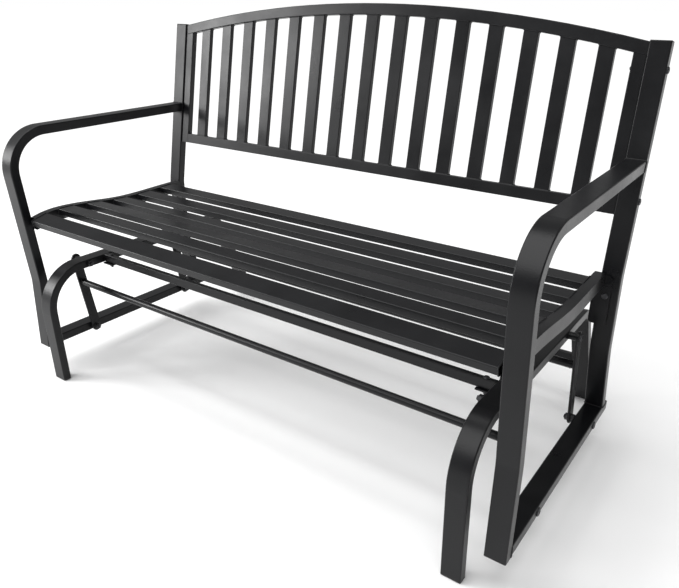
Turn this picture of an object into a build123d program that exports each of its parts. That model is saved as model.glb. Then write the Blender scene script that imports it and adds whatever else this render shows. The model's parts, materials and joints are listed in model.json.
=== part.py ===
from build123d import *
from math import atan2, cos, degrees, hypot, pi
import os

# Slatted steel glider bench, millimetres. X runs along the bench, -Y is the front, +Z is up.
# The origin is on the floor, in the middle of the bench's outline.
os.makedirs("parts", exist_ok=True)

# ---- driving dimensions ----
width = 1270.0  # over the two side frames
side_tube = (38.0, 22.0)  # side frame tube: across the bench, in the plane of its bends
base_tube = (38.0, 20.0)
wall = 1.2
tube_corner = 2.5

side_x = width / 2 - side_tube[0] / 2
side_inner_x = width / 2 - side_tube[0]
base_x = 549.0
base_outer_x = base_x + base_tube[0] / 2
base_inner_x = base_x - base_tube[0] / 2

# side frame, centre lines as (Y, Z)
rail_z = 82.0
rail_top = rail_z + side_tube[1] / 2
rail_bottom = rail_z - side_tube[1] / 2
front_leg_y = -336.0
front_knee = (-332.0, 250.0)
arm_corner = (-369.0, 616.0)
arm_end = (190.0, 619.0)
arm_bend = 88.0
rear_foot = (191.0, 82.0)
rear_knee = (149.0, 245.0)
seat_joint = (144.0, 409.0)
post_top = (213.0, 835.0)
rear_bend = 90.0
rail_rear_y = 211.0

# base frame, centre line as (Y, Z)
base_top_z = 286.0
front_base_foot_y = -348.0
front_base_corner_y = -362.0
rear_base_corner_y = 220.0
rear_base_foot_y = 359.0
front_base_bend = 95.0
rear_base_bend = 40.0
foot_thickness = 4.0

# hangers
front_pivot_y = -242.0
rear_pivot_y = 82.0
hanger_lean = 35.0  # the lower pivots stand this far behind the upper ones at rest
upper_pivot_z = base_top_z
lower_pivot_z = rail_z
tie_rod_drop = 68.0
tie_rod_radius = 8.0
tie_rod_wall = 1.4
hanger_width = 25.0
hanger_thickness = 5.0
hanger_x = 584.0  # inner face of the flat bar
pivot_radius = 4.0
running_clearance = 0.06
open_pivot_clearance = 0.4
bushing_radius = 6.5
bushing_flange_radius = 9.5
bushing_flange = 1.0
side_gap = 0.3

# seat
seat_rail_inner_x = 586.0
seat_rail_width = 20.0
seat_rail_height = 28.0
seat_front_y = -346.0
seat_rail_front_y = -334.0
seat_rail_rear_y = 128.8
seat_slat_width = 42.0
seat_slat_thickness = 16.0
seat_slat_pitch = 81.0
rear_slat_y = 74.0
front_slat_y = -325.0
crest_y = -262.0
crest_z = 425.0
dip_y = -42.0
dip_z = 410.0
nose_drop = 14.0
bracket_edges_x = (586.0, 621.0)
bracket_edges_z = (302.0, 408.0)
bracket_thickness = 4.0
bracket_bolt = (611.0, 365.0)

# back
back_recess = 4.0
back_depth = 16.0
back_rail_height = 24.5
back_rail_foot = 116.5  # up the slope from the seat joint
back_end_height = 433.5
arch_rise = 61.0
slat_count = 15
back_slat_width = 31.0
back_slat_depth = 12.0
back_slat_pitch = 74.8
thin_wall = 0.9

# fasteners
bolt_clearance = 0.15
head_radius = 8.5
head_height = 3.6
nut_flats_radius = 7.5
nut_height = 6.5
washer_radius = 9.0
washer_height = 1.5
seat_bolt_radius = 3.0
socket_radius = 2.9  # hexagon socket, to its corners
socket_depth = 2.0


# ---- helpers ----
def save(sub_part, label):
    """Name a finished piece and write it."""
    sub_part.part.label = label
    export_step(sub_part.part, f"parts/{label}.step")


def bent_tube(points, bend, size, x):
    """A hollow rectangular tube bent in a plane parallel to YZ, along the given centre line."""
    with BuildPart() as tube:
        with BuildLine(Plane.YZ.offset(x)) as path:
            FilletPolyline(*points, radius=bend)
        with BuildSketch(Plane(origin=path.line @ 0, x_dir=(1, 0, 0), z_dir=path.line % 0)):
            RectangleRounded(size[0], size[1], tube_corner)
            RectangleRounded(size[0] - 2 * wall, size[1] - 2 * wall, tube_corner - wall, mode=Mode.SUBTRACT)
        sweep()
    return tube.part


def cross_drill(points, radius, length=2 * width):
    """Cut holes along X through the piece in work, at the given (Y, Z) points."""
    with Locations(*[(0, y, z) for y, z in points]):
        Cylinder(radius, length, rotation=(0, 90, 0), mode=Mode.SUBTRACT)


def mirrored(sub_part):
    """The same piece on the other side of the bench."""
    with BuildPart() as twin:
        add(sub_part.part)
        mirror(about=Plane.YZ, mode=Mode.REPLACE)
    return twin


def save_pair(sub_part, label):
    """Write a piece of the right side and its mirror image."""
    save(sub_part, f"right_{label}")
    save(mirrored(sub_part), f"left_{label}")


def ring(x_from, x_to, y, z, outer, inner):
    """A plain ring or disc whose axis is along X, from one X to another."""
    with Locations(((x_from + x_to) / 2, y, z)):
        Cylinder(outer, abs(x_to - x_from), rotation=(0, 90, 0))
        if inner:
            Cylinder(inner, abs(x_to - x_from), rotation=(0, 90, 0), mode=Mode.SUBTRACT)


def dome_bolt(x_head, x_tip, y, z, radius, head=head_radius, height=head_height):
    """A bolt along X with a domed head that stands on x_head, and a shank that ends at x_tip."""
    outward = 1 if x_head > x_tip else -1
    with BuildPart() as bolt:
        with Locations((x_head + outward * height / 2, y, z)):
            Cylinder(head, height, rotation=(0, 90, 0))
        rim = bolt.edges().filter_by(GeomType.CIRCLE).sort_by(Axis.X)
        fillet(rim[-1] if outward > 0 else rim[0], height * 0.8)
        head_end = (x_head + outward * height, y, z)
        with BuildSketch(Plane(origin=head_end, x_dir=(0, 1, 0), z_dir=(outward, 0, 0))):
            RegularPolygon(socket_radius, 6)
        extrude(amount=-socket_depth, mode=Mode.SUBTRACT)
        with Locations(((x_head + x_tip) / 2, y, z)):
            Cylinder(radius, abs(x_head - x_tip), rotation=(0, 90, 0))
    return bolt.part


def hex_nut(x_face, direction, y, z, bore, size=nut_flats_radius, height=nut_height):
    """A hexagon nut that stands on the plane X = x_face and grows in the given direction."""
    with BuildPart() as nut:
        with BuildSketch(Plane(origin=(x_face, y, z), x_dir=(0, 1, 0), z_dir=(direction, 0, 0))):
            RegularPolygon(size, 6)
            Circle(bore, mode=Mode.SUBTRACT)
        extrude(amount=height)
    return nut.part


def both_sides(pieces):
    """The given right-hand solids and their mirror images, as one node."""
    with BuildPart() as together:
        for piece in pieces:
            add(piece)
        mirror(about=Plane.YZ)
    return together


# ---- base: two bent frames joined by two cross tubes, on plastic feet ----
base_line = [
    (front_base_foot_y + 1.0, -20.0),
    (front_base_corner_y, base_top_z),
    (rear_base_corner_y, base_top_z),
    (rear_base_foot_y + 10.0, -20.0),
]
upper_pivots = [(front_pivot_y, upper_pivot_z), (rear_pivot_y, upper_pivot_z)]
lower_pivots = [(y + hanger_lean, lower_pivot_z) for y in (front_pivot_y, rear_pivot_y)]

front_cross = (12.0, 20.0)  # depth and height of the front cross tube
rear_cross = (12.0, 38.0)
front_cross_centre = (-189.0, base_top_z)
rear_cross_centre = (293.0, 122.0)
cross_tab_thickness = 3.0
cross_tab_length = 34.0
end_plate = 3.0

with BuildPart() as right_base_frame:
    add(bent_tube(base_line, (front_base_bend, rear_base_bend), base_tube, base_x))
    split(bisect_by=Plane.XY.offset(foot_thickness), keep=Keep.TOP)
    cross_drill(upper_pivots, pivot_radius + bolt_clearance)
    cross_drill([rear_cross_centre], seat_bolt_radius + bolt_clearance)
save_pair(right_base_frame, "base_frame")


def tube_between(size, centre, half_length):
    """A hollow cross tube along X, with rounded corners."""
    with BuildPart() as tube:
        with BuildSketch(Plane.YZ.offset(-half_length)):
            with Locations(centre):
                RectangleRounded(size[0], size[1], 2.0)
                RectangleRounded(size[0] - 2 * thin_wall, size[1] - 2 * thin_wall, 0.7, mode=Mode.SUBTRACT)
        extrude(amount=2 * half_length)
    return tube.part


# tabs welded under the top rails carry the front cross tube, held by upright bolts
tab_x = base_inner_x - cross_tab_length / 2
tab_z = base_top_z - front_cross[1] / 2 - cross_tab_thickness / 2
upright_bolt_x = base_inner_x - 19.0
cross_y = front_cross_centre[0]
upright_bolts_at = [(upright_bolt_x, cross_y, base_top_z), (-upright_bolt_x, cross_y, base_top_z)]
with BuildPart() as front_cross_tube:
    add(tube_between(front_cross, front_cross_centre, base_inner_x))
    with Locations(*upright_bolts_at):
        Cylinder(seat_bolt_radius + bolt_clearance, 60, mode=Mode.SUBTRACT)
save(front_cross_tube, "front_cross_tube")

with BuildPart() as cross_tube_tabs:
    with Locations((tab_x, cross_y, tab_z), (-tab_x, cross_y, tab_z)):
        Box(cross_tab_length, 24.0, cross_tab_thickness)
    with Locations(*upright_bolts_at):
        Cylinder(seat_bolt_radius + bolt_clearance, 60, mode=Mode.SUBTRACT)
save(cross_tube_tabs, "cross_tube_tabs")

# the rear cross tube is closed by end plates that stand flat against the sloping rear legs
with BuildPart() as rear_cross_tube:
    add(tube_between(rear_cross, rear_cross_centre, base_inner_x - end_plate))
    plate_x = base_inner_x - end_plate / 2
    with Locations((plate_x, *rear_cross_centre), (-plate_x, *rear_cross_centre)):
        Box(end_plate, rear_cross[0], rear_cross[1])
    cross_drill([rear_cross_centre], seat_bolt_radius + bolt_clearance)
save(rear_cross_tube, "rear_cross_tube")


def upright_bolt(x):
    """The bolt that clamps the front cross tube to its tab, with the nut underneath."""
    top = base_top_z + front_cross[1] / 2
    under = base_top_z - front_cross[1] / 2 - cross_tab_thickness
    with BuildPart() as bolt:
        with Locations((x, cross_y, (top + under - 9.0) / 2)):
            Cylinder(seat_bolt_radius, top - under + 9.0)
        with Locations((x, cross_y, top + 1.5)):
            Cylinder(5.5, 3.0)
        fillet(bolt.edges().filter_by(GeomType.CIRCLE).sort_by(Axis.Z)[-1], 2.0)
        with BuildSketch(Plane(origin=(x, cross_y, under), z_dir=(0, 0, -1))):
            RegularPolygon(5.8, 6)
        extrude(amount=5.0)
    return bolt.part


flange_bolt = dome_bolt(base_outer_x, base_inner_x - 12.0, *rear_cross_centre, seat_bolt_radius, 6.5, 3.0)
save(both_sides([upright_bolt(upright_bolt_x), flange_bolt]), "cross_tube_bolts")

rear_slope = atan2(rear_base_foot_y + 10.0 - rear_base_corner_y, base_top_z + 20.0)
with BuildPart() as base_feet:
    with BuildSketch(Plane.XY):
        with Locations((base_x, front_base_foot_y), (-base_x, front_base_foot_y)):
            RectangleRounded(base_tube[0], base_tube[1], tube_corner)
        with Locations((base_x, rear_base_foot_y), (-base_x, rear_base_foot_y)):
            RectangleRounded(base_tube[0], base_tube[1] / cos(rear_slope), tube_corner)
    extrude(amount=foot_thickness)
    chamfer(base_feet.faces().sort_by(Axis.Z)[:4].edges(), 1.0)
save(base_feet, "base_feet")

# ---- hangers: flat bars with nylon bushings, tied in pairs by round rods ----
hanger_outer_x = hanger_x + hanger_thickness
inner_flange_x = hanger_x - bushing_flange
outer_flange_x = hanger_outer_x + bushing_flange
hanger_span = hypot(upper_pivot_z - lower_pivot_z, hanger_lean)
hanger_angle = degrees(atan2(upper_pivot_z - lower_pivot_z, -hanger_lean))
tie_rod_back = hanger_lean * tie_rod_drop / (upper_pivot_z - lower_pivot_z)


def hanger_bar(upper, lower):
    """One flat bar of a hanger, on the right side, between its upper and lower pivots."""
    with BuildPart() as bar:
        with BuildSketch(Plane.YZ.offset(hanger_x)):
            with Locations(((upper[0] + lower[0]) / 2, (upper[1] + lower[1]) / 2)):
                SlotCenterToCenter(hanger_span, hanger_width, rotation=hanger_angle)
        extrude(amount=hanger_thickness)
        fillet(bar.edges().filter_by(Plane.YZ), 0.8)
        cross_drill([upper, lower], bushing_radius)
    return bar


def bushing(y, z, bore):
    """A flanged nylon bushing in one eye of a hanger bar, on the right side."""
    with BuildPart() as bush:
        ring(hanger_x, hanger_outer_x, y, z, bushing_radius, 0)
        ring(inner_flange_x, hanger_x, y, z, bushing_flange_radius, 0)
        ring(hanger_outer_x, outer_flange_x, y, z, bushing_flange_radius, 0)
        cross_drill([(y, z)], bore)
    return bush.part


for name, upper, lower, lower_clearance in (
    ("front", upper_pivots[0], lower_pivots[0], running_clearance),
    ("rear", upper_pivots[1], lower_pivots[1], open_pivot_clearance),
):
    bar = hanger_bar(upper, lower)
    save(bar, f"{name}_right_hanger")
    save(mirrored(bar), f"{name}_left_hanger")
    rod_at = (upper[0] + tie_rod_back, upper[1] - tie_rod_drop)
    with BuildPart() as tie_rod:
        ring(-hanger_x, hanger_x, *rod_at, tie_rod_radius, tie_rod_radius - tie_rod_wall)
    save(tie_rod, f"{name}_tie_rod")
    upper_bush = bushing(*upper, pivot_radius + running_clearance)
    lower_bush = bushing(*lower, pivot_radius + lower_clearance)
    save(both_sides([upper_bush, lower_bush]), f"{name}_hanger_bushings")

# upper pivots: bolt head outside, spacer between bar and frame, nut inside
bolt_seat_x = outer_flange_x + side_gap
upper_tip_x = base_inner_x - nut_height - 5.0
upper_bolts = [dome_bolt(bolt_seat_x, upper_tip_x, y, z, pivot_radius) for y, z in upper_pivots]
save(both_sides(upper_bolts), "upper_pivot_bolts")
upper_nuts = [hex_nut(base_inner_x - washer_height, -1, y, z, pivot_radius) for y, z in upper_pivots]
save(both_sides(upper_nuts), "upper_pivot_nuts")
with BuildPart() as upper_pivot_spacers:
    for pivot_y, pivot_z in upper_pivots:
        ring(base_outer_x, inner_flange_x - side_gap, pivot_y, pivot_z, washer_radius - 1.0, 0)
        ring(base_inner_x - washer_height, base_inner_x, pivot_y, pivot_z, washer_radius, 0)
    cross_drill(upper_pivots, pivot_radius)
    mirror(about=Plane.YZ)
save(upper_pivot_spacers, "upper_pivot_spacers")

# ---- side frames ----
post_slope = atan2(post_top[0] - seat_joint[0], post_top[1] - seat_joint[1])
up_slope = (0, post_top[0] - seat_joint[0], post_top[1] - seat_joint[1])
post_front = Plane(
    origin=(0, seat_joint[0] - side_tube[1] / 2 / cos(post_slope), seat_joint[1]),
    x_dir=(1, 0, 0),
    z_dir=Vector(1, 0, 0).cross(Vector(*up_slope)),
)


def on_post(rise):
    """The (Y, Z) point on a post's centre line at a distance up the slope from the seat joint."""
    point = post_front.offset(-side_tube[1] / 2).from_local_coords((0, rise, 0))
    return (point.Y, point.Z)


back_bolts_at = [on_post(back_rail_foot + 30.0), on_post(back_end_height - 48.0)]

arm_line = [(front_leg_y, rail_bottom), front_knee, arm_corner, arm_end]
with BuildPart() as right_arm_tube:
    add(bent_tube(arm_line, arm_bend, side_tube, side_x))
    split(bisect_by=post_front, keep=Keep.TOP)
    split(bisect_by=Plane.XY.offset(rail_bottom + 1.5), keep=Keep.TOP)
save_pair(right_arm_tube, "arm_tube")

rail_front_y = front_leg_y + side_tube[1] / 2 + 0.6
with BuildPart() as right_bottom_rail:
    with BuildSketch(Plane.XZ.offset(-rail_front_y)):
        with Locations((side_x, rail_z)):
            RectangleRounded(side_tube[0], side_tube[1], tube_corner)
            RectangleRounded(
                side_tube[0] - 2 * wall, side_tube[1] - 2 * wall, tube_corner - wall, mode=Mode.SUBTRACT
            )
    extrude(amount=-(rail_rear_y - rail_front_y))
    cross_drill(lower_pivots, pivot_radius + bolt_clearance)
save_pair(right_bottom_rail, "bottom_rail")

leg_slope = atan2(seat_joint[0] - rear_knee[0], seat_joint[1] - rear_knee[1])
leg_up = (0, seat_joint[0] - rear_knee[0], seat_joint[1] - rear_knee[1])
leg_face = Plane(
    origin=(0, seat_joint[0] - side_tube[1] / 2 / cos(leg_slope), seat_joint[1]),
    x_dir=(1, 0, 0),
    z_dir=Vector(1, 0, 0).cross(Vector(*leg_up)),
)

rear_line = [(rear_foot[0] + 3.0, rear_foot[1] - 12.0), rear_knee, seat_joint, post_top]
with BuildPart() as rear_upright:
    add(bent_tube(rear_line, rear_bend, side_tube, side_x))
    cross_drill(back_bolts_at, seat_bolt_radius + bolt_clearance)
    with BuildSketch(leg_face):
        with Locations((bracket_bolt[0], (bracket_bolt[1] - seat_joint[1]) / cos(leg_slope))):
            Circle(seat_bolt_radius + bolt_clearance)
    extrude(amount=-side_tube[1] / 2, mode=Mode.SUBTRACT)

with BuildPart() as right_rear_leg:
    add(rear_upright.part)
    split(bisect_by=Plane.XY.offset(rail_top), keep=Keep.TOP)
    split(bisect_by=Plane.XY.offset(seat_joint[1]), keep=Keep.BOTTOM)
save_pair(right_rear_leg, "rear_leg")

with BuildPart() as right_back_post:
    add(rear_upright.part)
    split(bisect_by=Plane.XY.offset(seat_joint[1]), keep=Keep.TOP)
save_pair(right_back_post, "back_post")

cap_thickness = 2.5
post_end = Plane(origin=(side_x, *post_top), x_dir=(1, 0, 0), z_dir=up_slope)
with BuildPart() as tube_caps:
    with BuildSketch(post_end):
        RectangleRounded(side_tube[0], side_tube[1], tube_corner)
    extrude(amount=cap_thickness)
    fillet(tube_caps.faces().sort_by(Axis.Z)[-1].edges(), 1.2)
    with BuildSketch(Plane.XZ.offset(-rail_rear_y)):
        with Locations((side_x, rail_z)):
            RectangleRounded(side_tube[0], side_tube[1], tube_corner)
    extrude(amount=-cap_thickness)
    with BuildSketch(Plane.XY.offset(rail_bottom)):
        with Locations((side_x, front_leg_y)):
            RectangleRounded(side_tube[0], side_tube[1], tube_corner)
    extrude(amount=1.5)
    mirror(about=Plane.YZ)
save(tube_caps, "tube_caps")

# lower pivots: bolt head outside the rail, washer between rail and bar, nut inside the bar
lower_bolts = [
    dome_bolt(width / 2, inner_flange_x - side_gap - nut_height - 2.0, y, z, pivot_radius, height=3.0)
    for y, z in lower_pivots
]
save(both_sides(lower_bolts), "lower_pivot_bolts")
lower_nuts = [hex_nut(inner_flange_x - side_gap, -1, y, z, pivot_radius) for y, z in lower_pivots]
save(both_sides(lower_nuts), "lower_pivot_nuts")
with BuildPart() as lower_pivot_washers:
    for pivot_y, pivot_z in lower_pivots:
        ring(bolt_seat_x, side_inner_x, pivot_y, pivot_z, washer_radius, 0)
    cross_drill(lower_pivots, pivot_radius)
    mirror(about=Plane.YZ)
save(lower_pivot_washers, "lower_pivot_washers")


# ---- seat: two curved rails with slats between them ----
def seat_top(y):
    """Height of the seat's upper surface: a rolled front, a crest and a shallow dip."""
    if y < crest_y:
        return crest_z - nose_drop * ((crest_y - y) / (crest_y - seat_front_y)) ** 2
    if y < dip_y:
        return dip_z + (crest_z - dip_z) * (1 + cos(pi * (y - crest_y) / (dip_y - crest_y))) / 2
    return dip_z + 1.5 * (1 - cos(pi * (y - dip_y) / (seat_rail_rear_y - dip_y)))


def seat_curve(drop, start, end):
    """Points along the seat's side profile, a given distance below its upper surface."""
    steps = 9
    places = [start + (end - start) * step / steps for step in range(steps + 1)]
    return [(y, seat_top(y) - drop) for y in places]


with BuildPart() as right_seat_rail:
    with BuildSketch(Plane.YZ.offset(seat_rail_inner_x)):
        with BuildLine():
            upper = Spline(*seat_curve(0, seat_rail_front_y, seat_rail_rear_y))
            lower = Spline(*seat_curve(seat_rail_height, seat_rail_front_y, seat_rail_rear_y))
            Line(upper @ 0, lower @ 0)
            Line(upper @ 1, lower @ 1)
        make_face()
    extrude(amount=seat_rail_width)
    with BuildSketch(Plane.YZ.offset(seat_rail_inner_x + wall)):
        with BuildLine():
            bore_ends = (seat_rail_front_y - 5.0, seat_rail_rear_y + 5.0)
            upper = Spline(*seat_curve(wall, *bore_ends))
            lower = Spline(*seat_curve(seat_rail_height - wall, *bore_ends))
            Line(upper @ 0, lower @ 0)
            Line(upper @ 1, lower @ 1)
        make_face()
    extrude(amount=seat_rail_width - 2 * wall, mode=Mode.SUBTRACT)
save_pair(right_seat_rail, "seat_rail")

slat_places = [rear_slat_y - seat_slat_pitch * row for row in range(5)] + [front_slat_y]
for row, slat_y in enumerate(slat_places, start=1):
    rise = seat_top(slat_y + 1.0) - seat_top(slat_y - 1.0)
    along = (0, 2.0, rise)
    slat_end = Plane(
        origin=(-seat_rail_inner_x, slat_y, seat_top(slat_y)), x_dir=along, z_dir=(1, 0, 0)
    )
    slat_bore = (seat_slat_width - 2 * thin_wall, seat_slat_thickness - 2 * thin_wall)
    with BuildPart() as seat_slat:
        with BuildSketch(slat_end):
            with Locations((0, -seat_slat_thickness / 2)):
                RectangleRounded(seat_slat_width, seat_slat_thickness, 2.0)
                RectangleRounded(*slat_bore, 0.7, mode=Mode.SUBTRACT)
        extrude(amount=2 * seat_rail_inner_x)
    save(seat_slat, f"seat_slat_{row}")

# the rails end in plates that are bolted to the rear legs' front faces
bracket_face = leg_face.offset(bracket_thickness)
bolt_rise = (bracket_bolt[1] - seat_joint[1]) / cos(leg_slope)
with BuildPart() as seat_brackets:
    with BuildSketch(leg_face):
        with Locations((sum(bracket_edges_x) / 2, sum(bracket_edges_z) / 2 - seat_joint[1])):
            RectangleRounded(
                bracket_edges_x[1] - bracket_edges_x[0], bracket_edges_z[1] - bracket_edges_z[0], 7.0
            )
        with Locations((bracket_bolt[0], bolt_rise)):
            Circle(seat_bolt_radius + bolt_clearance, mode=Mode.SUBTRACT)
    extrude(amount=bracket_thickness)
    mirror(about=Plane.YZ)
save(seat_brackets, "seat_brackets")

with BuildPart() as seat_bolts:
    with BuildSketch(bracket_face):
        with Locations((bracket_bolt[0], bolt_rise)):
            Circle(6.5)
    extrude(amount=3.2)
    fillet(seat_bolts.edges().filter_by(GeomType.CIRCLE).sort_by(Axis.Y)[0], 2.4)
    with BuildSketch(bracket_face):
        with Locations((bracket_bolt[0], bolt_rise)):
            Circle(seat_bolt_radius)
    extrude(amount=-(bracket_thickness + 8.0))
    mirror(about=Plane.YZ)
save(seat_bolts, "seat_bolts")

# ---- back: an arched frame of flat tube with upright slats, bolted between the posts ----
back_face = post_front.offset(-back_recess)
chord = side_inner_x
arch_radius = (chord**2 + arch_rise**2) / (2 * arch_rise)
arch_centre = (0, back_end_height + arch_rise - arch_radius)
inner_arch_radius = arch_radius - back_rail_height
slat_face = back_face.offset(-(back_depth - back_slat_depth) / 2)


def arch_band(outer, inner, half_width):
    """Cross-section of the arched rail in the plane of the back."""
    with BuildSketch() as band:
        with Locations(arch_centre):
            Circle(outer)
            Circle(inner, mode=Mode.SUBTRACT)
        with Locations((0, back_end_height)):
            Rectangle(2 * half_width, 3 * arch_rise, mode=Mode.INTERSECT)
    return band.sketch


with BuildPart() as back_top_rail:
    with BuildSketch(back_face):
        add(arch_band(arch_radius, inner_arch_radius, chord))
    extrude(amount=-back_depth)
    fillet(back_top_rail.edges().filter_by(GeomType.CIRCLE), 1.5)
    with BuildSketch(back_face.offset(-thin_wall)):
        add(arch_band(arch_radius - thin_wall, inner_arch_radius + thin_wall, chord + 1.0))
    extrude(amount=-(back_depth - 2 * thin_wall), mode=Mode.SUBTRACT)
save(back_top_rail, "back_top_rail")


def back_upright(x, upright_width, depth, face, foot):
    """A hollow upright of the back whose top end follows the underside of the arch."""
    with BuildPart() as upright:
        with BuildSketch(face):
            with Locations(arch_centre):
                Circle(inner_arch_radius)
            with Locations((x, foot)):
                Rectangle(upright_width, 500, align=(Align.CENTER, Align.MIN), mode=Mode.INTERSECT)
        extrude(amount=-depth)
        long_edges = [edge for edge in upright.edges() if abs(edge.length) > 100]
        fillet(long_edges, 1.5)
        with BuildSketch(face.offset(-thin_wall)):
            with Locations((x, foot - 5)):
                Rectangle(upright_width - 2 * thin_wall, 510, align=(Align.CENTER, Align.MIN))
        extrude(amount=-(depth - 2 * thin_wall), mode=Mode.SUBTRACT)
    return upright


stile_x = side_inner_x - back_rail_height / 2
with BuildPart() as right_back_stile:
    add(back_upright(stile_x, back_rail_height, back_depth, back_face, back_rail_foot).part)
    cross_drill(back_bolts_at, seat_bolt_radius + bolt_clearance)
save_pair(right_back_stile, "back_stile")

stile_inner_x = side_inner_x - back_rail_height
with BuildPart() as back_bottom_rail:
    with BuildSketch(back_face):
        with Locations((0, back_rail_foot)):
            Rectangle(2 * stile_inner_x, back_rail_height, align=(Align.CENTER, Align.MIN))
    extrude(amount=-back_depth)
    fillet(back_bottom_rail.edges().filter_by(Axis.X), 1.5)
    with BuildSketch(back_face.offset(-thin_wall)):
        with Locations((0, back_rail_foot + thin_wall)):
            Rectangle(2 * stile_inner_x, back_rail_height - 2 * thin_wall, align=(Align.CENTER, Align.MIN))
    extrude(amount=-(back_depth - 2 * thin_wall), mode=Mode.SUBTRACT)
save(back_bottom_rail, "back_bottom_rail")

slat_foot = back_rail_foot + back_rail_height
for number in range(slat_count):
    slat_x = (number - (slat_count - 1) / 2) * back_slat_pitch
    back_slat = back_upright(slat_x, back_slat_width, back_slat_depth, slat_face, slat_foot)
    save(back_slat, f"back_slat_{number + 1:02d}")

back_bolt_set = [
    dome_bolt(width / 2, stile_inner_x - 2.0, y, z, seat_bolt_radius, 6.5, 3.0) for y, z in back_bolts_at
]
save(both_sides(back_bolt_set), "back_bolts")
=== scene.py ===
"""Looks of the slatted glider bench: satin black powder coat, weld beads and soft studio light."""

import json
import math
import random

import bmesh
import bpy
from mathutils import Matrix, Vector, geometry


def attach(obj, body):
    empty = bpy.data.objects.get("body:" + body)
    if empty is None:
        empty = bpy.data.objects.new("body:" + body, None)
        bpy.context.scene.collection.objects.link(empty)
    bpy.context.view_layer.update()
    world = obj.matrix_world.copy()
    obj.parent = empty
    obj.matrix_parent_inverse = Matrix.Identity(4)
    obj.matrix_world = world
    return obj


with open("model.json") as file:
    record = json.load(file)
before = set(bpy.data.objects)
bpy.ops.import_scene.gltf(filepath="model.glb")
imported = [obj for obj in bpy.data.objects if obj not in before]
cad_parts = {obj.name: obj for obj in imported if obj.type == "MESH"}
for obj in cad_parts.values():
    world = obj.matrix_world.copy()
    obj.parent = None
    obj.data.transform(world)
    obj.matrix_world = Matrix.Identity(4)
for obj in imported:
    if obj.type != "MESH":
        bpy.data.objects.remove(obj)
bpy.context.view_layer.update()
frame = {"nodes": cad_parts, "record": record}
scene = bpy.context.scene
random.seed(7)
WHITE = (1.0, 1.0, 1.0, 1.0)


# ---- materials ----
def shader_nodes(name):
    """A new material with a plain Principled shader, ready for its textures."""
    material = bpy.data.materials.new(name)
    material.use_nodes = True
    nodes = material.node_tree.nodes
    return material, nodes, material.node_tree.links, nodes["Principled BSDF"]


def noise(nodes, links, coords, scale, detail=4.0, roughness=0.55):
    """A noise texture in object space, in repeats per metre."""
    texture = nodes.new("ShaderNodeTexNoise")
    texture.inputs["Scale"].default_value = scale
    texture.inputs["Detail"].default_value = detail
    texture.inputs["Roughness"].default_value = roughness
    links.new(coords.outputs["Object"], texture.inputs["Vector"])
    return texture.outputs["Fac"]


def ramp(nodes, links, source, stops):
    """A colour ramp over the given (place, colour) stops."""
    node = nodes.new("ShaderNodeValToRGB")
    for element, (place, colour) in zip(node.color_ramp.elements, stops):
        element.position = place
        element.color = (*colour, 1.0)
    links.new(source, node.inputs["Fac"])
    return node.outputs["Color"]


def spread(nodes, links, source, low, high):
    """The source's 0.3 to 0.7 stretched over low to high."""
    node = nodes.new("ShaderNodeMapRange")
    node.inputs["From Min"].default_value = 0.3
    node.inputs["From Max"].default_value = 0.7
    node.inputs["To Min"].default_value = low
    node.inputs["To Max"].default_value = high
    links.new(source, node.inputs["Value"])
    return node.outputs["Result"]


def bumps(nodes, links, shader, layers):
    """Stacked bumps: (height source, strength, distance in metres), coarse first."""
    last = None
    for source, strength, distance in layers:
        bump = nodes.new("ShaderNodeBump")
        bump.inputs["Strength"].default_value = strength
        bump.inputs["Distance"].default_value = distance
        links.new(source, bump.inputs["Height"])
        if last:
            links.new(last, bump.inputs["Normal"])
        last = bump.outputs["Normal"]
    links.new(last, shader.inputs["Normal"])


def powder_coat(name, dark, light, rough):
    """Satin powder coat: slight mottling, an orange-peel surface and a fine grain."""
    material, nodes, links, shader = shader_nodes(name)
    coords = nodes.new("ShaderNodeTexCoord")
    mottle = noise(nodes, links, coords, 9.0, 5.0)
    peel = noise(nodes, links, coords, 420.0, 2.0)
    grain = noise(nodes, links, coords, 1900.0, 1.0)
    links.new(ramp(nodes, links, mottle, [(0.3, dark), (0.7, light)]), shader.inputs["Base Color"])
    links.new(spread(nodes, links, mottle, rough - 0.05, rough + 0.06), shader.inputs["Roughness"])
    bumps(nodes, links, shader, [(peel, 0.22, 0.0006), (grain, 0.12, 0.0002)])
    shader.inputs["Specular IOR Level"].default_value = 0.27
    return material


def moulded_plastic(name, dark, light, rough):
    """Moulded plastic with a fine matt texture."""
    material, nodes, links, shader = shader_nodes(name)
    coords = nodes.new("ShaderNodeTexCoord")
    cloud = noise(nodes, links, coords, 30.0, 3.0)
    pebble = noise(nodes, links, coords, 900.0, 2.0)
    links.new(ramp(nodes, links, cloud, [(0.3, dark), (0.7, light)]), shader.inputs["Base Color"])
    links.new(spread(nodes, links, cloud, rough - 0.05, rough + 0.05), shader.inputs["Roughness"])
    bumps(nodes, links, shader, [(pebble, 0.3, 0.0003)])
    return material


def plated_steel(name, dark, light, rough):
    """Black-plated steel of the bolts, nuts and washers, a little worn."""
    material, nodes, links, shader = shader_nodes(name)
    coords = nodes.new("ShaderNodeTexCoord")
    wear = noise(nodes, links, coords, 160.0, 6.0, 0.7)
    turned = noise(nodes, links, coords, 1400.0, 1.0)
    links.new(ramp(nodes, links, wear, [(0.35, dark), (0.72, light)]), shader.inputs["Base Color"])
    links.new(spread(nodes, links, wear, rough - 0.08, rough + 0.12), shader.inputs["Roughness"])
    bumps(nodes, links, shader, [(turned, 0.15, 0.0001)])
    shader.inputs["Metallic"].default_value = 0.85
    return material


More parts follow.
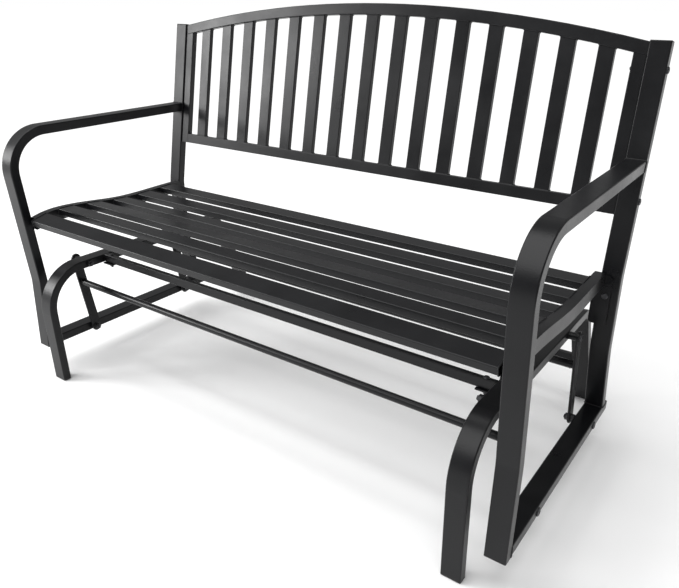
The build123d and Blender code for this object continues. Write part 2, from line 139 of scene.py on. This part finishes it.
COAT_DARK = (0.0035, 0.0036, 0.0044)
coat = powder_coat("black_powder_coat", COAT_DARK, (0.0065, 0.0067, 0.0077), 0.32)
weld_coat = powder_coat("weld_powder_coat", COAT_DARK, (0.007, 0.0072, 0.0082), 0.38)
plastic = moulded_plastic("black_plastic", (0.008, 0.008, 0.009), (0.014, 0.014, 0.015), 0.55)
nylon = moulded_plastic("nylon_bushing", (0.02, 0.02, 0.021), (0.035, 0.035, 0.036), 0.45)
hardware = plated_steel("black_hardware", (0.03, 0.03, 0.032), (0.09, 0.09, 0.095), 0.38)

slot_material = {
    "black_powder_coat": coat,
    "black_plastic": plastic,
    "nylon": nylon,
    "black_hardware": hardware,
}
for subpart in frame["record"]["subparts"]:
    node = frame["nodes"][subpart["node"]]
    for material_slot in node.material_slots:
        material_slot.material = slot_material[subpart["material_slot"]]


# ---- weld beads ----
BEAD_RADIUS = 0.0016
BEAD_STEP = 0.0011
BEAD_SIDES = 6
RIPPLE_LENGTH = 0.0034
RIPPLE_SHARE = 0.13
RIPPLE_CHANCE = 0.05


def end_outline(node, axis, at_high_end, depth):
    """Corners around one end of a node, in order. Depth is how far that end reaches along the axis."""
    axis = Vector(axis).normalized()
    places = [vertex.co.copy() for vertex in node.data.vertices]
    reach = [place.dot(axis) for place in places]
    limit = max(reach) if at_high_end else min(reach)
    rim = [place for place, along in zip(places, reach) if abs(along - limit) <= depth]
    middle = sum(rim, Vector()) / len(rim)
    first = axis.orthogonal().normalized()
    second = axis.cross(first)
    flat = [Vector(((place - middle).dot(first), (place - middle).dot(second))) for place in rim]
    hull = geometry.convex_hull_2d(flat)
    return [rim[index] for index in hull]


def even_points(corners, step):
    """Points an even step apart around a closed outline."""
    points = []
    for corner, following in zip(corners, corners[1:] + corners[:1]):
        count = max(1, round((following - corner).length / step))
        points += [corner.lerp(following, share / count) for share in range(count)]
    return points


def bead_around(data, corners):
    """Adds one closed weld bead along the outline, with the ripples of a hand weld."""
    points = even_points(corners, BEAD_STEP)
    middle = sum(points, Vector()) / len(points)
    phase = random.uniform(0.0, math.tau)
    rings = []
    for index, point in enumerate(points):
        ahead = (points[(index + 1) % len(points)] - points[index - 1]).normalized()
        outward = (point - middle).normalized()
        outward = (outward - ahead * outward.dot(ahead)).normalized()
        side = ahead.cross(outward)
        ripple = math.sin(math.tau * index * BEAD_STEP / RIPPLE_LENGTH + phase)
        chance = random.uniform(-RIPPLE_CHANCE, RIPPLE_CHANCE)
        radius = BEAD_RADIUS * (1.0 + RIPPLE_SHARE * ripple + chance)
        ring = []
        for step in range(BEAD_SIDES):
            angle = math.tau * step / BEAD_SIDES
            spoke = outward * math.cos(angle) + side * math.sin(angle)
            ring.append(data.verts.new(point + spoke * radius))
        rings.append(ring)
    for ring, following in zip(rings, rings[1:] + rings[:1]):
        for step in range(BEAD_SIDES):
            beyond = (step + 1) % BEAD_SIDES
            data.faces.new((ring[step], following[step], following[beyond], ring[beyond]))


def weld_piece(name, joints, body):
    """One piece of weld beads, from (node name, axis, at high end, depth) for each bead."""
    data = bmesh.new()
    for node_name, axis, at_high_end, depth in joints:
        bead_around(data, end_outline(frame["nodes"][node_name], axis, at_high_end, depth))
    bmesh.ops.recalc_face_normals(data, faces=data.faces)
    mesh = bpy.data.meshes.new(name)
    data.to_mesh(mesh)
    data.free()
    mesh.materials.append(weld_coat)
    mesh.shade_smooth()
    piece = bpy.data.objects.new(name, mesh)
    scene.collection.objects.link(piece)
    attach(piece, body)


SIDES = ("left", "right")
BOTH_ENDS = (False, True)
SQUARE_CUT = 0.0002
NEAR_SQUARE_CUT = 0.0004
LEG_CUT = 0.001
RAIL_CUT = 0.002
SLOPING_CUT = 0.010
ALONG = (1.0, 0.0, 0.0)
BACKWARD = (0.0, 1.0, 0.0)
UPWARD = (0.0, 0.0, 1.0)
BACK_LEAN = math.radians(9.3)
UP_THE_BACK = (0.0, math.sin(BACK_LEAN), math.cos(BACK_LEAN))
seat_slats = [f"seat_slat_{row}" for row in range(1, 7)]
back_slats = [f"back_slat_{column:02d}" for column in range(1, 16)]
bottom_rails = [f"{side}_bottom_rail" for side in SIDES]
rear_legs = [f"{side}_rear_leg" for side in SIDES]
arms = [f"{side}_arm_tube" for side in SIDES]
weld_rows = (
    ("seat_slat_welds", seat_slats, ALONG, BOTH_ENDS, SQUARE_CUT, "seat"),
    ("back_slat_foot_welds", back_slats, UP_THE_BACK, (False,), NEAR_SQUARE_CUT, "seat"),
    ("back_slat_head_welds", back_slats, UP_THE_BACK, (True,), SLOPING_CUT, "seat"),
    ("bottom_rail_welds", bottom_rails, BACKWARD, (False,), RAIL_CUT, "seat"),
    ("rear_leg_welds", rear_legs, UPWARD, (False,), LEG_CUT, "seat"),
    ("arm_welds", arms, BACKWARD, (True,), SLOPING_CUT, "seat"),
    ("tie_rod_welds_front", ["front_tie_rod"], ALONG, BOTH_ENDS, SQUARE_CUT, "front_hanger"),
    ("tie_rod_welds_rear", ["rear_tie_rod"], ALONG, BOTH_ENDS, SQUARE_CUT, "rear_hanger"),
)
for piece_name, members, axis, ends, depth, body in weld_rows:
    weld_piece(piece_name, [(member, axis, end, depth) for member in members for end in ends], body)

# ---- floor, light and camera ----
FLOOR_HALF_SIZE = 60.0
FLOOR_DROP = 0.001
ROOM_STRENGTH = 0.34
OVERHEAD_STRENGTH = 3.05
OVERHEAD_SPREAD = math.radians(70.0)
TO_OVERHEAD = (-0.25, -0.35, 0.9)
KEY_POWER = 55.0
CAMERA_PLACE = (0.8931, -1.1969, 0.9056)
CAMERA_LENS = 36.39
CAMERA_SHIFT = (0.0281, -0.0270)
CAMERA_HEADING = math.radians(36.32)
CAMERA_DIP = math.radians(22.0)
CAMERA_LEAN = math.radians(0.21)

floor_mesh = bpy.data.meshes.new("floor")
floor_data = bmesh.new()
bmesh.ops.create_grid(floor_data, x_segments=8, y_segments=8, size=FLOOR_HALF_SIZE)
floor_data.to_mesh(floor_mesh)
floor_data.free()
floor = bpy.data.objects.new("floor", floor_mesh)
floor.location.z = -FLOOR_DROP
scene.collection.objects.link(floor)
paper, nodes, links, shader = shader_nodes("studio_paper")
coords = nodes.new("ShaderNodeTexCoord")
tone = noise(nodes, links, coords, 1.5, 2.0)
paper_colour = ramp(nodes, links, tone, [(0.3, (0.9, 0.9, 0.9)), (0.7, (0.93, 0.93, 0.93))])
links.new(paper_colour, shader.inputs["Base Color"])
shader.inputs["Roughness"].default_value = 0.95
shader.inputs["Specular IOR Level"].default_value = 0.1
floor_mesh.materials.append(paper)

world = bpy.data.worlds.new("studio")
scene.world = world
world.use_nodes = True
sky_nodes, sky_links = world.node_tree.nodes, world.node_tree.links
dim_room = sky_nodes["Background"]
dim_room.inputs["Color"].default_value = WHITE
dim_room.inputs["Strength"].default_value = ROOM_STRENGTH
white_backdrop = sky_nodes.new("ShaderNodeBackground")
white_backdrop.inputs["Color"].default_value = WHITE
ray = sky_nodes.new("ShaderNodeLightPath")
shown = sky_nodes.new("ShaderNodeMixShader")
sky_links.new(ray.outputs["Is Camera Ray"], shown.inputs["Fac"])
sky_links.new(dim_room.outputs["Background"], shown.inputs[1])
sky_links.new(white_backdrop.outputs["Background"], shown.inputs[2])
sky_links.new(shown.outputs["Shader"], sky_nodes["World Output"].inputs["Surface"])


def softbox(name, place, target, size, power):
    """A rectangular area light at a place, turned towards a target."""
    data = bpy.data.lights.new(name, "AREA")
    data.shape = "RECTANGLE"
    data.size, data.size_y = size
    data.energy = power
    light = bpy.data.objects.new(name, data)
    light.location = place
    light.rotation_euler = (Vector(target) - Vector(place)).to_track_quat("-Z", "Y").to_euler()
    scene.collection.objects.link(light)


overhead_data = bpy.data.lights.new("overhead", "SUN")
overhead_data.energy = OVERHEAD_STRENGTH
overhead_data.angle = OVERHEAD_SPREAD
overhead = bpy.data.objects.new("overhead", overhead_data)
overhead.rotation_euler = Vector(TO_OVERHEAD).to_track_quat("Z", "Y").to_euler()
scene.collection.objects.link(overhead)
softbox("key", (-2.5, -1.9, 1.35), (-0.3, 0.1, 0.7), (0.9, 1.1), KEY_POWER)

camera_data = bpy.data.cameras.new("camera")
camera_data.sensor_width = 36.0
camera_data.lens = CAMERA_LENS
camera_data.shift_x, camera_data.shift_y = CAMERA_SHIFT
camera = bpy.data.objects.new("camera", camera_data)
heading, dip, lean = CAMERA_HEADING, CAMERA_DIP, CAMERA_LEAN
ahead = Vector((
    -math.sin(heading) * math.cos(dip),
    math.cos(heading) * math.cos(dip),
    -math.sin(dip),
))
level_right = Vector((math.cos(heading), math.sin(heading), 0.0))
level_up = level_right.cross(ahead)
right = level_right * math.cos(lean) + level_up * math.sin(lean)
up = right.cross(ahead)
turn = Matrix((right, up, -ahead)).transposed()
camera.matrix_world = Matrix.Translation(CAMERA_PLACE) @ turn.to_4x4()
scene.collection.objects.link(camera)
scene.camera = camera

scene.view_settings.view_transform = "Standard"
scene.view_settings.look = "None"
